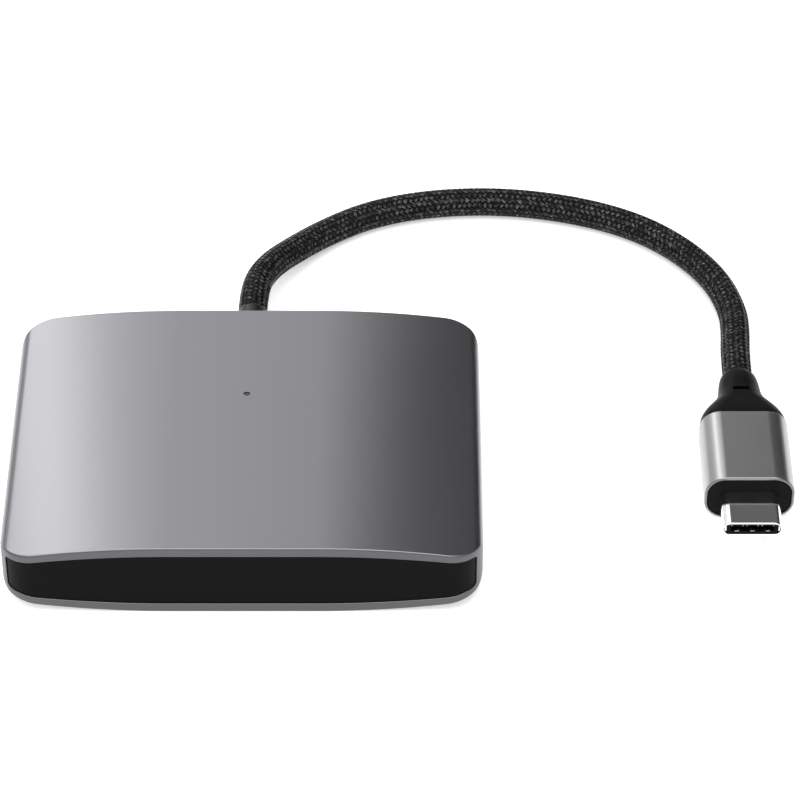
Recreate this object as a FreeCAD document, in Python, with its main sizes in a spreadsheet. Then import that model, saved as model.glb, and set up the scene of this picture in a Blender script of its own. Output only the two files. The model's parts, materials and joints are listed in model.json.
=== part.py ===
import FreeCAD, Part
import math
import operator
import os
from types import SimpleNamespace

import Sketcher

# A four-socket USB hub: a flat extruded aluminium sleeve closed by two plastic end panels, a board with
# the sockets inside it, and a short braided cord that ends in a USB-C plug.
# Millimetres. The origin is under the middle of the hub, +Z is up and the plain front panel faces -Y.

VALUES = {
    # sleeve: flat top and bottom strips, wide shoulder arcs, small edge arcs and straight sides
    "hub_width": 65.0,
    "hub_depth": 48.9,
    "hub_height": 11.8,
    "flat_width": 20.0,
    "side_straight": 5.0,
    "edge_radius": 1.5,
    "plan_radius": 4.9,
    # the hollow: a thicker top and bottom than sides
    "wall": 1.5,
    "side_wall": 0.9,
    "hollow_straight": 4.4,
    "hollow_radius": 0.6,
    # end panels
    "panel_fit": 0.05,
    "panel_recess": 0.15,
    "panel_face": 1.6,
    "panel_skirt": 1.2,
    "panel_hollow": 3.35,
    "panel_depth": 4.2,
    # sockets, two in each side
    "socket_width": 8.94,
    "socket_height": 3.26,
    "socket_length": 7.35,
    "socket_wall": 0.3,
    "socket_pitch": 20.0,
    "socket_recess": 0.35,
    "socket_clearance": 0.13,
    "tongue_width": 6.69,
    "tongue_thickness": 0.7,
    "tongue_length": 4.45,
    "socket_base": 1.6,
    "contact_width": 0.25,
    "contact_pitch": 0.5,
    "contact_thickness": 0.08,
    "contact_length": 3.4,
    # board and carrier
    "board_thickness": 1.0,
    "board_gap": 0.3,
    "carrier_floor": 0.6,
    "carrier_margin": 8.0,
    "carrier_fit": 0.05,
    "post_radius": 2.0,
    "post_inset": 4.0,
    "post_spread": 15.0,
    "screw_radius": 0.62,
    "screw_clearance": 0.05,
    "screw_head_radius": 1.3,
    "screw_head_height": 0.7,
    # status light
    "light_forward": 6.6,
    "light_radius": 0.4,
    "light_clearance": 0.05,
    "light_recess": 0.15,
    "light_flange_radius": 1.1,
    "light_flange": 0.6,
    "led_height": 0.6,
    # cord, gland and wires
    "cord_radius": 2.12,
    "gland_nose": 6.0,
    "gland_tip_radius": 2.2,
    "gland_neck_radius": 2.5,
    "gland_clearance": 0.05,
    "gland_flange_radius": 3.2,
    "gland_flange": 1.5,
    "wire_radius": 0.3,
    "wire_reach": 4.0,
    # plug
    "plug_width": 12.4,
    "plug_height": 7.5,
    "plug_length": 13.8,
    "plug_corner": 3.0,
    "plug_wall": 0.9,
    "plug_lip": 0.3,
    "plug_fit": 0.05,
    "insert_recess": 0.15,
    "insert_length": 4.0,
    "nose_width": 8.25,
    "nose_height": 2.4,
    "nose_reach": 6.25,
    "nose_wall": 0.25,
    "nose_rear": 4.8,
    "mouth_recess": 0.2,
    "insulator_side": 0.42,
    "slot_width": 6.0,
    "slot_height": 1.0,
    "slot_depth": 6.2,
    "relief_length": 10.95,
    "relief_plug": 2.2,
    "relief_slot_width": 2.1,
    "relief_slot_length": 0.85,
}

# The cord's own line: out of the gland, down onto the surface, round, and up into the plug.
CORD_POINTS = [
    (0.0, 30.3, 5.9),
    (0.0, 36.5, 5.9),
    (1.9, 42.7, 4.6),
    (5.7, 48.6, 3.0),
    (10.4, 53.7, 2.15),
    (16.7, 57.8, 2.15),
    (25.2, 60.4, 2.15),
    (35.8, 61.1, 2.15),
    (46.7, 59.3, 2.15),
    (56.1, 55.5, 2.15),
    (63.0, 49.9, 2.15),
    (68.0, 42.8, 2.15),
    (70.1, 35.0, 2.3),
    (70.0, 29.1, 3.0),
    (69.55, 24.2, 3.8),
    (69.55, 18.6, 3.8),
]

doc = FreeCAD.newDocument("usb_hub")
sheet = doc.addObject("Spreadsheet::Sheet", "Sizes")
SIGNS = {"+": operator.add, "-": operator.sub, "*": operator.mul, "/": operator.truediv}


class Size:
    """A number of the sheet, or a sum of such numbers, kept together with its expression."""

    def __init__(self, number, text):
        self.number = number
        self.text = text

    def __add__(self, other):
        return combine(self, "+", other)

    def __radd__(self, other):
        return combine(other, "+", self)

    def __sub__(self, other):
        return combine(self, "-", other)

    def __rsub__(self, other):
        return combine(other, "-", self)

    def __mul__(self, other):
        return combine(self, "*", other)

    def __rmul__(self, other):
        return combine(other, "*", self)

    def __truediv__(self, other):
        return combine(self, "/", other)

    def __neg__(self):
        return combine(0, "-", self)


def as_size(thing):
    return thing if isinstance(thing, Size) else Size(thing, f"({thing})")


def combine(left, sign, right):
    left = as_size(left)
    right = as_size(right)
    return Size(SIGNS[sign](left.number, right.number), f"({left.text} {sign} {right.text})")


def fill_sheet():
    sizes = {}
    for row, (alias, number) in enumerate(VALUES.items(), 1):
        sheet.set(f"A{row}", alias)
        sheet.set(f"B{row}", str(number))
        sheet.setAlias(f"B{row}", alias)
        sizes[alias] = Size(number, f"Sizes.{alias}")
    doc.recompute()
    return SimpleNamespace(**sizes)


s = fill_sheet()
sub_parts = []


def keep(thing, label):
    thing.Label = label
    sub_parts.append(thing)
    return thing


def bind(thing, **links):
    for name, size in links.items():
        thing.setExpression(name, as_size(size).text)


def place(thing, x=0, y=0, z=0, turn=None):
    if turn:
        thing.Placement = FreeCAD.Placement(FreeCAD.Vector(), turn)
    for axis, size in zip("xyz", (x, y, z)):
        thing.setExpression(f"Placement.Base.{axis}", as_size(size).text)
    return thing


# ---- sketches ----

def new_sketch(body, name, role, offset=0):
    """A sketch on one of the body's origin planes, offset along that plane's normal."""
    sketch = body.newObject("Sketcher::SketchObject", name)
    support = next(item for item in body.Origin.OriginFeatures if item.Role == role)
    sketch.AttachmentSupport = [(support, "")]
    sketch.MapMode = "FlatFace"
    sketch.setExpression("AttachmentOffset.Base.z", as_size(offset).text)
    return sketch


def dimension(sketch, name, kind, places, size):
    size = as_size(size)
    sketch.renameConstraint(sketch.addConstraint(Sketcher.Constraint(kind, *places, size.number)), name)
    sketch.setExpression(f"Constraints.{name}", size.text)


def line(sketch, start, end):
    return sketch.addGeometry(Part.LineSegment(FreeCAD.Vector(*start, 0), FreeCAD.Vector(*end, 0)))


def arc(sketch, centre, radius, start, end):
    circle = Part.Circle(FreeCAD.Vector(*centre, 0), FreeCAD.Vector(0, 0, 1), radius)
    return sketch.addGeometry(Part.ArcOfCircle(circle, start, end))


def rounded_rectangle(sketch, tag, width, height, radius):
    """A rectangle with rounded corners about the sketch's origin."""
    across = as_size(width).number / 2
    up = as_size(height).number / 2
    bend = as_size(radius).number
    arcs = []
    sides = []
    for corner, (right, top) in enumerate(((1, -1), (1, 1), (-1, 1), (-1, -1))):
        start = (corner - 1) * math.pi / 2
        arcs.append(arc(sketch, (right * (across - bend), top * (up - bend)), bend, start, start + math.pi / 2))
        last = sketch.Geometry[arcs[-1]].EndPoint
        ahead = ((across, up - bend), (bend - across, up), (-across, bend - up), (across - bend, -up))[corner]
        sides.append(line(sketch, (last.x, last.y), ahead))
    for corner in range(4):
        sketch.addConstraint(Sketcher.Constraint("Tangent", arcs[corner], 2, sides[corner], 1))
        sketch.addConstraint(Sketcher.Constraint("Tangent", sides[corner], 2, arcs[(corner + 1) % 4], 1))
        sketch.addConstraint(Sketcher.Constraint(("Vertical", "Horizontal")[corner % 2], sides[corner]))
    for corner in (1, 2, 3):
        sketch.addConstraint(Sketcher.Constraint("Equal", arcs[0], arcs[corner]))
    dimension(sketch, tag + "_radius", "Radius", (arcs[0],), radius)
    dimension(sketch, tag + "_width", "DistanceX", (sides[2], 1, sides[0], 1), width)
    dimension(sketch, tag + "_height", "DistanceY", (sides[3], 1, sides[1], 1), height)
    dimension(sketch, tag + "_right", "DistanceX", (-1, 1, sides[0], 1), width / 2)
    dimension(sketch, tag + "_top", "DistanceY", (-1, 1, sides[1], 1), height / 2)


def stadium(sketch, tag, width, height, middle=0):
    """A slot shape with full round ends, its middle on the sketch's first axis."""
    bend = as_size(height).number / 2
    reach = as_size(width).number / 2 - bend
    centre = as_size(middle).number
    right = arc(sketch, (centre + reach, 0), bend, -math.pi / 2, math.pi / 2)
    top = line(sketch, (centre + reach, bend), (centre - reach, bend))
    left = arc(sketch, (centre - reach, 0), bend, math.pi / 2, 3 * math.pi / 2)
    bottom = line(sketch, (centre - reach, -bend), (centre + reach, -bend))
    for first, second in ((right, top), (top, left), (left, bottom), (bottom, right)):
        sketch.addConstraint(Sketcher.Constraint("Tangent", first, 2, second, 1))
    sketch.addConstraint(Sketcher.Constraint("Equal", right, left))
    sketch.addConstraint(Sketcher.Constraint("PointOnObject", right, 3, -1))
    sketch.addConstraint(Sketcher.Constraint("PointOnObject", left, 3, -1))
    dimension(sketch, tag + "_radius", "Radius", (right,), height / 2)
    dimension(sketch, tag + "_right", "DistanceX", (-1, 1, right, 3), middle + (width - height) / 2)
    dimension(sketch, tag + "_left", "DistanceX", (-1, 1, left, 3), middle - (width - height) / 2)


def hub_section(sketch, tag):
    """The hub's outer section."""
    twelve_edges(sketch, tag, s.hub_width / 2, s.hub_height / 2, s.side_straight / 2, s.edge_radius)


def hollow_section(sketch, tag, clearance):
    """The hollow through the hub, or what fits in it with a clearance all round."""
    twelve_edges(sketch, tag, s.hub_width / 2 - s.side_wall - clearance, s.hub_height / 2 - s.wall - clearance,
                 s.hollow_straight / 2, s.hollow_radius - clearance)


def twelve_edges(sketch, tag, across, up, straight, bend):
    """A flat top and bottom, wide shoulder arcs, small corner arcs and straight sides, in four mirrored quarters."""
    flat = s.flat_width / 2
    run = across.number - bend.number - flat.number
    rise = up.number - straight.number
    wide = (run ** 2 + rise ** 2 - bend.number ** 2) / (2 * (rise - bend.number))
    lean = math.asin(run / (wide - bend.number))
    quarter = math.pi / 2
    for turn, (right, top) in enumerate(((1, 1), (-1, 1), (-1, -1), (1, -1))):
        corner = (right * (across.number - bend.number), top * straight.number)
        shoulder = (right * flat.number, top * (up.number - wide))
        first = turn * quarter
        if turn == 0:
            line(sketch, (across.number, -straight.number), (across.number, straight.number))
        elif turn == 2:
            line(sketch, (-across.number, straight.number), (-across.number, -straight.number))
        if turn in (0, 2):
            arc(sketch, corner, bend.number, first, first + quarter - lean)
            arc(sketch, shoulder, wide, first + quarter - lean, first + quarter)
            line(sketch, (right * flat.number, top * up.number), (-right * flat.number, top * up.number))
        else:
            arc(sketch, shoulder, wide, first, first + lean)
            arc(sketch, corner, bend.number, first + lean, first + quarter)
    base = sketch.GeometryCount - 12
    side_right, corner_one, shoulder_one, flat_top, shoulder_two, corner_two = range(base, base + 6)
    side_left, corner_three, shoulder_three, flat_low, shoulder_four, corner_four = range(base + 6, base + 12)
    for edge in range(12):
        kind = "Tangent" if edge < 3 else "Coincident"
        sketch.addConstraint(Sketcher.Constraint(kind, base + edge, 2, base + (edge + 1) % 12, 1))
    upright = -2
    level = -1
    mirrored = (
        (side_right, 2, side_left, 1, upright), (corner_one, 2, corner_two, 1, upright),
        (flat_top, 1, flat_top, 2, upright), (side_right, 1, side_right, 2, level),
        (corner_four, 1, corner_one, 2, level), (flat_low, 2, flat_top, 1, level),
        (side_left, 2, side_right, 1, upright), (corner_three, 2, corner_four, 1, upright),
        (flat_low, 1, flat_low, 2, upright),
    )
    for pair in mirrored:
        sketch.addConstraint(Sketcher.Constraint("Symmetric", *pair))
    for first, others in ((corner_one, (corner_two, corner_three, corner_four)),
                          (shoulder_one, (shoulder_two, shoulder_three, shoulder_four))):
        for other in others:
            sketch.addConstraint(Sketcher.Constraint("Equal", first, other))
    dimension(sketch, tag + "_bend", "Radius", (corner_one,), bend)
    dimension(sketch, tag + "_across", "DistanceX", (-1, 1, side_right, 2), across)
    dimension(sketch, tag + "_straight", "DistanceY", (-1, 1, side_right, 2), straight)
    dimension(sketch, tag + "_flat", "DistanceX", (-1, 1, flat_top, 1), flat)
    dimension(sketch, tag + "_up", "DistanceY", (-1, 1, flat_top, 1), up)


# ---- features ----

def pad(body, name, sketch, length, symmetric=False, reversed_way=False):
    feature = body.newObject("PartDesign::Pad", name)
    feature.Profile = sketch
    feature.SideType = "Symmetric" if symmetric else "One side"
    feature.Reversed = reversed_way
    bind(feature, Length=length)
    doc.recompute()
    return feature


def pocket(body, name, sketch, length=None, symmetric=False, reversed_way=False):
    """Cuts through all, or to a length, and makes sure that something was cut."""
    before = body.Shape.Volume
    feature = body.newObject("PartDesign::Pocket", name)
    feature.Profile = sketch
    feature.SideType = "Symmetric" if symmetric else "One side"
    feature.Reversed = reversed_way
    if length is None:
        feature.Type = "ThroughAll"
    else:
        bind(feature, Length=length)
    doc.recompute()
    if not body.Shape.Volume < before - 1e-6:
        raise RuntimeError(f"{name} cuts nothing")
    return feature


def bar(body, name, profile, start, length, *sizes):
    """A bar along +Y from start, whose section a profile function draws."""
    sketch = new_sketch(body, name + "_sketch", "XZ_Plane", -as_size(start))
    profile(sketch, name, *sizes)
    return pad(body, name, sketch, length, reversed_way=True)


def bore(body, name, profile, start, length, *sizes):
    """A hole along +Y from start, to a length or, with None, through all."""
    sketch = new_sketch(body, name + "_sketch", "XZ_Plane", -as_size(start))
    profile(sketch, name, *sizes)
    return pocket(body, name, sketch, length)


def new_body(name):
    return doc.addObject("PartDesign::Body", name)


def box(name, middle, low, size):
    """A box centred on middle in X and Y, standing on height low."""
    shape = doc.addObject("Part::Box", name)
    bind(shape, Length=size[0], Width=size[1], Height=size[2])
    return place(shape, as_size(middle[0]) - as_size(size[0]) / 2, as_size(middle[1]) - as_size(size[1]) / 2, low)


ALONG_Y = FreeCAD.Rotation(FreeCAD.Vector(1, 0, 0), -90)


def cylinder(name, radius, height, x, y, z, turn=None):
    shape = doc.addObject("Part::Cylinder", name)
    bind(shape, Radius=radius, Height=height)
    return place(shape, x, y, z, turn)


def fuse(name, shapes):
    joined = doc.addObject("Part::MultiFuse", name)
    joined.Shapes = shapes
    joined.Refine = True
    return joined


def cut(name, base, tool):
    shape = doc.addObject("Part::Cut", name)
    shape.Base = base
    shape.Tool = tool
    return shape


def together(name, shapes):
    compound = doc.addObject("Part::Compound", name)
    compound.Links = shapes
    return compound


def group(label, shapes):
    return keep(together(label, shapes), label)


# ---- places that several pieces share ----

middle_height = s.hub_height / 2
board_top = middle_height - s.socket_height / 2
board_bottom = board_top - s.board_thickness
board_half_depth = s.hub_depth / 2 - s.panel_depth - s.board_gap
inside_floor = s.wall
inside_top = s.hub_height - s.wall
post_spots = [(side * s.post_spread, end * (board_half_depth - s.post_inset)) for side in (-1, 1) for end in (-1, 1)]
plug_x = as_size(CORD_POINTS[-1][0])
plug_z = as_size(CORD_POINTS[-1][2])
plug_front = as_size(CORD_POINTS[-1][1]) - s.relief_length - s.plug_length


# ---- sleeve and end panels ----

def plan_trim(body, name, inset):
    """Rounds the four upright corners of a bar to the hub's plan, a set distance inside it."""
    sketch = new_sketch(body, name + "_sketch", "XY_Plane")
    rounded_rectangle(sketch, "clear", s.hub_width * 1.4, s.hub_depth * 1.4, s.plan_radius)
    rounded_rectangle(sketch, "plan", s.hub_width - 2 * inset, s.hub_depth - 2 * inset, s.plan_radius - inset)
    return pocket(body, name, sketch, symmetric=True)


def make_sleeve():
    body = new_body("housing_sleeve")
    outline = new_sketch(body, "outline", "XZ_Plane")
    hub_section(outline, "outer")
    pad(body, "extrusion", outline, s.hub_depth, symmetric=True)
    hollow = new_sketch(body, "hollow", "XZ_Plane")
    hollow_section(hollow, "inner", 0)
    pocket(body, "hollow_cut", hollow, symmetric=True)
    plan_trim(body, "rounded_plan", 0)
    for number, side in ((1, -1), (2, 1)):
        opening = new_sketch(body, f"opening_{number}", "YZ_Plane")
        width = s.socket_width + 2 * s.socket_clearance
        height = s.socket_height + 2 * s.socket_clearance
        stadium(opening, "mouth", width, height, side * s.socket_pitch / 2)
        pocket(body, f"opening_{number}_cut", opening, symmetric=True)
    pinhole = new_sketch(body, "pinhole", "XY_Plane")
    pinhole.addGeometry(Part.Circle(FreeCAD.Vector(0, s.light_forward.number, 0), FreeCAD.Vector(0, 0, 1),
                                    s.light_radius.number + s.light_clearance.number))
    pinhole.addConstraint(Sketcher.Constraint("PointOnObject", 0, 3, -2))
    dimension(pinhole, "radius", "Radius", (0,), s.light_radius + s.light_clearance)
    dimension(pinhole, "forward", "DistanceY", (-1, 1, 0, 3), s.light_forward)
    pocket(body, "pinhole_cut", pinhole, reversed_way=True)
    place(body, z=middle_height)
    return keep(body, "housing_sleeve")


def make_end_panel(label, gland_hole):
    """A cap with a skirt that slides into the sleeve's end. It is drawn for the front and turned for the rear."""
    body = new_body(label)
    outline = new_sketch(body, label + "_outline", "XZ_Plane")
    hollow_section(outline, "outer", s.panel_fit)
    pad(body, label + "_block", outline, s.hub_depth, symmetric=True)
    plan_trim(body, label + "_plan", s.panel_recess)
    inner_end = s.panel_recess + s.panel_depth - s.hub_depth / 2
    bore(body, label + "_back", rounded_rectangle, inner_end, None, s.hub_width, s.hub_height, s.edge_radius)
    face_back = s.panel_recess + s.panel_face - s.hub_depth / 2
    hollow = new_sketch(body, label + "_hollow", "XZ_Plane", -face_back)
    across = s.hub_width - 2 * (s.side_wall + s.panel_fit + s.panel_skirt) - 4 * s.plan_radius
    rounded_rectangle(hollow, "hollow", across, 2 * s.panel_hollow, s.panel_skirt)
    pocket(body, label + "_hollow_cut", hollow)
    turn = None
    if gland_hole:
        eye = new_sketch(body, label + "_eye", "XZ_Plane")
        eye.addGeometry(Part.Circle(FreeCAD.Vector(), FreeCAD.Vector(0, 0, 1), s.gland_neck_radius.number))
        eye.addConstraint(Sketcher.Constraint("Coincident", 0, 3, -1, 1))
        dimension(eye, "radius", "Radius", (0,), s.gland_neck_radius + s.gland_clearance)
        pocket(body, label + "_eye_cut", eye, symmetric=True)
        turn = FreeCAD.Rotation(FreeCAD.Vector(0, 0, 1), 180)
    place(body, z=middle_height, turn=turn)
    return keep(body, label)


# ---- carrier, board and what is on it ----

def make_carrier():
    """A tray that follows the sleeve's floor and lifts the board on four posts."""
    floor_low = inside_floor + s.carrier_fit
    section = new_body("carrier_section")
    outline = new_sketch(section, "carrier_outline", "XZ_Plane")
    hollow_section(outline, "outer", s.carrier_fit)
    pad(section, "carrier_block", outline, 2 * board_half_depth, symmetric=True)
    place(section, z=middle_height)
    slab = box("carrier_slab", (0, 0), floor_low, (s.flat_width + 2 * s.carrier_margin, 2 * board_half_depth,
                                                   s.carrier_floor))
    floor = doc.addObject("Part::Common", "carrier_floor_plate")
    floor.Base = section
    floor.Tool = slab
    posts = [cylinder(f"post_{number}", s.post_radius, board_bottom - floor_low - s.carrier_floor / 2, x, y,
                      floor_low + s.carrier_floor / 2)
             for number, (x, y) in enumerate(post_spots, 1)]
    bores = [cylinder(f"post_bore_{number}", s.screw_radius + s.screw_clearance,
                      board_bottom - floor_low, x, y, floor_low + s.carrier_floor / 4)
             for number, (x, y) in enumerate(post_spots, 1)]
    solid = fuse("carrier_solid", [floor] + posts)
    return keep(cut("board_carrier", solid, fuse("carrier_bores", bores)), "board_carrier")


def make_board():
    half_width = s.hub_width / 2 - s.edge_radius - s.board_gap
    slab = box("board_slab", (0, 0), board_bottom, (2 * half_width, 2 * board_half_depth, s.board_thickness))
    holes = [cylinder(f"board_hole_{number}", s.screw_radius + s.screw_clearance, s.board_thickness * 2, x, y,
                      board_bottom - s.board_thickness / 2)
             for number, (x, y) in enumerate(post_spots, 1)]
    return keep(cut("main_board", slab, fuse("board_holes", holes)), "main_board")


def make_screws():
    screws = []
    shank = s.board_thickness + board_bottom - inside_floor - s.carrier_fit - s.carrier_floor / 2
    for number, (x, y) in enumerate(post_spots, 1):
        head = cylinder(f"screw_head_{number}", s.screw_head_radius, s.screw_head_height, x, y, board_top)
        stem = cylinder(f"screw_stem_{number}", s.screw_radius, shank + s.screw_head_height / 2, x, y,
                        board_top - shank)
        blank = fuse(f"screw_blank_{number}", [head, stem])
        recess = cylinder(f"screw_recess_{number}", s.screw_radius, s.screw_head_height / 2, x, y,
                          board_top + s.screw_head_height / 2)
        screws.append(cut(f"screw_{number}", blank, recess))
    group("board_screws", screws)


def make_board_parts():
    """Square chips, the can over the controller, coils, capacitors, the crystal and the light."""
    controller = box("hub_controller", (0, -6.0), board_top, (9.0, 9.0, 0.9))
    keep(controller, "hub_controller")
    can_outside = box("can_outside", (0, -6.0), board_top, (14.0, 14.0, 1.8))
    can_inside = box("can_inside", (0, -6.0), board_top - 1.0, (13.5, 13.5, 2.55))
    keep(cut("shield_can", can_outside, can_inside), "shield_can")
    for label, spot, size in (
        ("power_controller", (12.0, 4.0), (5.0, 5.0, 0.85)),
        ("memory_chip", (-12.5, 1.0), (3.9, 4.9, 1.5)),
        ("clock_crystal", (-11.0, -8.0), (3.2, 2.5, 0.8)),
    ):
        keep(box(label, spot, board_top, size), label)
    coils = [box(f"coil_{number}", (side * 8.5, 11.0), board_top, (4.0, 4.0, 2.0))
             for number, side in ((1, -1), (2, 1))]
    group("power_inductors", coils)
    spots = [(side * (19.5 + 1.8 * column), row) for side in (-1, 1) for column in (0, 1) for row in (-1.5, 1.5)]
    spots += [(side * 6.0 + column * 2.4, 4.0) for side in (-1, 1) for column in (-0.5, 0.5)]
    group("capacitors", [box(f"capacitor_{number}", spot, board_top, (0.8, 1.6, 0.8))
                         for number, spot in enumerate(spots, 1)])
    keep(box("status_led", (0, s.light_forward), board_top, (0.8, 1.6, s.led_height)), "status_led")
    pin_low = board_top + s.led_height + s.light_clearance
    pin = cylinder("pipe_pin", s.light_radius, s.hub_height - s.light_recess - pin_low, 0, s.light_forward, pin_low)
    collar = cylinder("pipe_collar", s.light_flange_radius, s.light_flange, 0, s.light_forward,
                      inside_top - s.light_clearance - s.light_flange)
    keep(fuse("light_pipe", [pin, collar]), "light_pipe")


def make_socket(label, side, end):
    """One USB-C receptacle: a drawn steel shell, a moulded tongue and two rows of contacts."""
    turn = FreeCAD.Rotation(FreeCAD.Vector(0, 0, 1), 90 * side)
    spot = {"x": side * (s.hub_width / 2 - s.socket_recess), "y": end * s.socket_pitch / 2, "z": middle_height}
    shell = new_body(label + "_socket_shell")
    bar(shell, label + "_shell", stadium, 0, s.socket_length, s.socket_width, s.socket_height)
    bore(shell, label + "_shell_hollow", stadium, 0, None, s.socket_width - 2 * s.socket_wall,
         s.socket_height - 2 * s.socket_wall)
    place(shell, turn=turn, **spot)
    keep(shell, label + "_socket_shell")
    tongue = new_body(label + "_socket_tongue")
    base_start = s.socket_length - s.socket_base
    fit = s.socket_wall + s.panel_fit
    bar(tongue, label + "_base", stadium, base_start, s.socket_base, s.socket_width - 2 * fit,
        s.socket_height - 2 * fit)
    bar(tongue, label + "_tongue", rounded_rectangle, base_start - s.tongue_length, s.tongue_length + s.socket_base / 2,
        s.tongue_width, s.tongue_thickness, s.tongue_thickness / 4)
    place(tongue, turn=turn, **spot)
    keep(tongue, label + "_socket_tongue")
    strips = []
    for row, low in ((1, s.tongue_thickness / 2), (2, -s.tongue_thickness / 2 - s.contact_thickness)):
        for column in range(12):
            strips.append(box(f"{label}_contact_{row}_{column}",
                              (s.contact_pitch * (column - 5.5), base_start - s.contact_length / 2),
                              low, (s.contact_width, s.contact_length, s.contact_thickness)))
    contacts = group(label + "_socket_contacts", strips)
    place(contacts, turn=turn, **spot)


# ---- gland, wires and cord ----

def make_gland():
    """A grommet with its flange behind the rear panel and its tapered nose outside."""
    rear_face = s.hub_depth / 2 - s.panel_recess
    seat = rear_face - s.panel_face
    flange = cylinder("gland_flange_disc", s.gland_flange_radius, s.gland_flange, 0, seat - s.gland_flange,
                      middle_height, ALONG_Y)
    neck = cylinder("gland_neck", s.gland_neck_radius, s.panel_face + s.gland_flange / 2, 0,
                    seat - s.gland_flange / 2, middle_height, ALONG_Y)
    nose = doc.addObject("Part::Cone", "gland_nose")
    bind(nose, Radius1=s.gland_neck_radius, Radius2=s.gland_tip_radius, Height=s.gland_nose)
    place(nose, 0, rear_face, middle_height, ALONG_Y)
    keep(fuse("cord_gland", [flange, neck, nose]), "cord_gland")


def make_wires():
    """Five insulated wires from the gland to the board's rear edge, lying on the board."""
    start = s.hub_depth / 2 - s.panel_recess - s.panel_face - s.gland_flange
    height = board_top + s.wire_radius + s.screw_clearance
    wires = [cylinder(f"wire_{number}", s.wire_radius, s.wire_reach, number * 0.8, start - s.wire_reach, height, ALONG_Y)
             for number in (-2, -1, 0, 1, 2)]
    group("cord_wires", wires)


def rounded_path(points):
    """Straight runs joined by tangent arcs, each as large as its two runs allow."""
    corners = [FreeCAD.Vector(*point) for point in points]
    edges = []
    radii = []
    last = corners[0]
    for before, corner, after in zip(corners, corners[1:], corners[2:]):
        inward = (corner - before).normalize()
        outward = (after - corner).normalize()
        half_turn = inward.getAngle(outward) / 2
        setback = 0.45 * min((corner - before).Length, (after - corner).Length)
        radii.append(setback / math.tan(half_turn))
        start = corner - inward * setback
        end = corner + outward * setback
        towards = (outward - inward).normalize()
        centre = corner + towards * (radii[-1] / math.cos(half_turn))
        middle = centre - towards * radii[-1]
        edges.append(Part.LineSegment(last, start).toShape())
        edges.append(Part.Arc(start, middle, end).toShape())
        last = end
    edges.append(Part.LineSegment(last, corners[-1]).toShape())
    print("cord radii:", " ".join(f"{radius:.1f}" for radius in radii))
    return Part.Wire(edges)


def make_cord():
    path = rounded_path(CORD_POINTS)
    start = FreeCAD.Vector(*CORD_POINTS[0])
    ahead = FreeCAD.Vector(*CORD_POINTS[1]) - start
    radius = s.cord_radius.number
    ring = Part.Wire(Part.Circle(start, ahead, radius).toShape())
    tube = path.makePipeShell([ring], True, False)
    wanted = math.pi * radius ** 2 * path.Length
    print(f"cord length {path.Length:.1f}, volume {tube.Volume:.1f} against {wanted:.1f}")
    cord = doc.addObject("Part::Feature", "cord")
    cord.Shape = tube
    cord.Placement = FreeCAD.Placement()
    keep(cord, "cord")


# ---- plug: drawn about its own axis, with y counted from the front lip ----

def seat_in_plug(thing, label):
    """Moves a piece from the plug's own axes to the cord's end."""
    carried = thing if thing.isDerivedFrom("PartDesign::Body") else together(label + "_seat", [thing])
    place(carried, plug_x, plug_front, plug_z)
    keep(carried, label)


def make_plug_housing():
    body = new_body("plug_housing")
    bar(body, "plug_block", rounded_rectangle, 0, s.plug_length, s.plug_width, s.plug_height, s.plug_corner)
    bore(body, "plug_hollow", rounded_rectangle, 0, None, s.plug_width - 2 * s.plug_wall,
         s.plug_height - 2 * s.plug_wall, s.plug_corner - s.plug_wall)
    base = body.Tip
    inner = s.plug_width.number / 2 - s.plug_wall.number
    rim = []
    for number, edge in enumerate(base.Shape.Edges, 1):
        middle = edge.valueAt(sum(edge.ParameterRange) / 2)
        outside = abs(middle.x) > inner + 1e-3 or abs(middle.z) > s.plug_height.number / 2 - s.plug_wall.number + 1e-3
        corner = math.hypot(abs(middle.x) - s.plug_width.number / 2 + s.plug_corner.number,
                            abs(middle.z) - s.plug_height.number / 2 + s.plug_corner.number)
        curved = abs(corner - s.plug_corner.number) < 1e-3
        if abs(middle.y) < 1e-6 and (outside or curved):
            rim.append(f"Edge{number}")
    lip = body.newObject("PartDesign::Chamfer", "plug_lip")
    lip.Base = (base, rim)
    bind(lip, Size=s.plug_lip)
    seat_in_plug(body, "plug_housing")


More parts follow.
